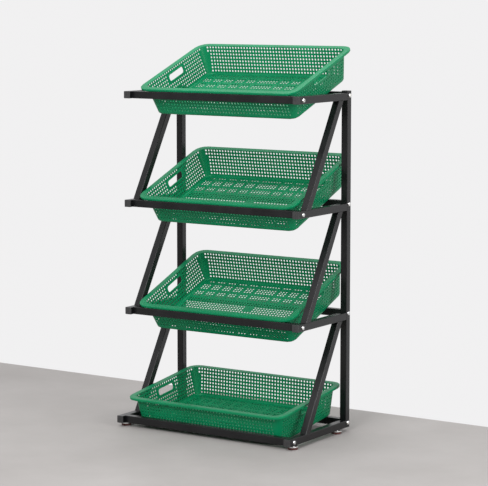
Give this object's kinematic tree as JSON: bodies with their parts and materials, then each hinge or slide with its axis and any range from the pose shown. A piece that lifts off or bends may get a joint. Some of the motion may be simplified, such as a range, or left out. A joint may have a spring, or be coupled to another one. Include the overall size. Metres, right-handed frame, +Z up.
{
  "type": "produce display rack",
  "caption": "Free-standing black steel tube rack with open tiers of green perforated plastic baskets tilted towards the front, on levelling feet.",
  "frame": {"origin": "On the floor under the middle of the whole rack, width and depth, baskets included", "axes": "+X to the right of someone facing the rack's open front, +Y to the back, +Z up"},
  "size_m": [0.726, 0.4658, 1.3287],
  "materials": {
    "black_powder_coat": "semi-gloss powder coat",
    "black_cap_plastic": "fine moulded grain",
    "zinc_plated_steel": "bright zinc plate",
    "foot_rubber": "dull red-brown rubber",
    "green_basket_plastic": "satin moulded plastic"
  },
  "bodies": {
    "frame": {"left_post": "black_powder_coat", "left_arm_1": "black_powder_coat", "left_arm_2": "black_powder_coat", "left_arm_3": "black_powder_coat", "left_arm_4": "black_powder_coat", "left_brace_1": "black_powder_coat", "left_brace_2": "black_powder_coat", "left_brace_3": "black_powder_coat", "right_post": "black_powder_coat", "right_arm_1": "black_powder_coat", "right_arm_2": "black_powder_coat", "right_arm_3": "black_powder_coat", "right_arm_4": "black_powder_coat", "right_brace_1": "black_powder_coat", "right_brace_2": "black_powder_coat", "right_brace_3": "black_powder_coat", "front_bar_1": "black_powder_coat", "front_bar_2": "black_powder_coat", "front_bar_3": "black_powder_coat", "front_bar_4": "black_powder_coat", "rear_bar_1": "black_powder_coat", "rear_bar_2": "black_powder_coat", "rear_bar_3": "black_powder_coat", "rear_bar_4": "black_powder_coat", "left_post_cap": "black_cap_plastic", "left_arm_cap_1": "black_cap_plastic", "left_arm_cap_2": "black_cap_plastic", "left_arm_cap_3": "black_cap_plastic", "left_arm_cap_4": "black_cap_plastic", "right_post_cap": "black_cap_plastic", "right_arm_cap_1": "black_cap_plastic", "right_arm_cap_2": "black_cap_plastic", "right_arm_cap_3": "black_cap_plastic", "right_arm_cap_4": "black_cap_plastic", "front_bar_blocks": "zinc_plated_steel", "rear_bar_blocks": "zinc_plated_steel", "front_bolts": "zinc_plated_steel", "rear_bolts": "zinc_plated_steel", "foot_nuts": "zinc_plated_steel"},
    "basket_1": {"basket_1": "green_basket_plastic"},
    "basket_2": {"basket_2": "green_basket_plastic"},
    "basket_3": {"basket_3": "green_basket_plastic"},
    "basket_4": {"basket_4": "green_basket_plastic"},
    "front_left_foot": {"front_left_foot": "zinc_plated_steel", "front_left_pad": "foot_rubber"},
    "rear_left_foot": {"rear_left_foot": "zinc_plated_steel", "rear_left_pad": "foot_rubber"},
    "front_right_foot": {"front_right_foot": "zinc_plated_steel", "front_right_pad": "foot_rubber"},
    "rear_right_foot": {"rear_right_foot": "zinc_plated_steel", "rear_right_pad": "foot_rubber"}
  },
  "joints": [
    {"name": "basket_1_lift", "type": "slide", "parent": "frame", "child": "basket_1", "axis": [0, -0.1271, 0.9919], "range_m": [0, 0.15]},
    {"name": "basket_2_lift", "type": "slide", "parent": "frame", "child": "basket_2", "axis": [0, -0.3714, 0.9285], "range_m": [0, 0.15]},
    {"name": "basket_3_lift", "type": "slide", "parent": "frame", "child": "basket_3", "axis": [0, -0.3714, 0.9285], "range_m": [0, 0.15]},
    {"name": "basket_4_lift", "type": "slide", "parent": "frame", "child": "basket_4", "axis": [0, -0.3529, 0.9357], "range_m": [0, 0.18]},
    {"name": "front_left_foot_screw", "type": "slide", "parent": "frame", "child": "front_left_foot", "axis": [0, 0, -1], "range_m": [0, 0.01]},
    {"name": "rear_left_foot_screw", "type": "slide", "parent": "frame", "child": "rear_left_foot", "axis": [0, 0, -1], "range_m": [0, 0.01]},
    {"name": "front_right_foot_screw", "type": "slide", "parent": "frame", "child": "front_right_foot", "axis": [0, 0, -1], "range_m": [0, 0.01]},
    {"name": "rear_right_foot_screw", "type": "slide", "parent": "frame", "child": "rear_right_foot", "axis": [0, 0, -1], "range_m": [0, 0.01]}
  ]
}
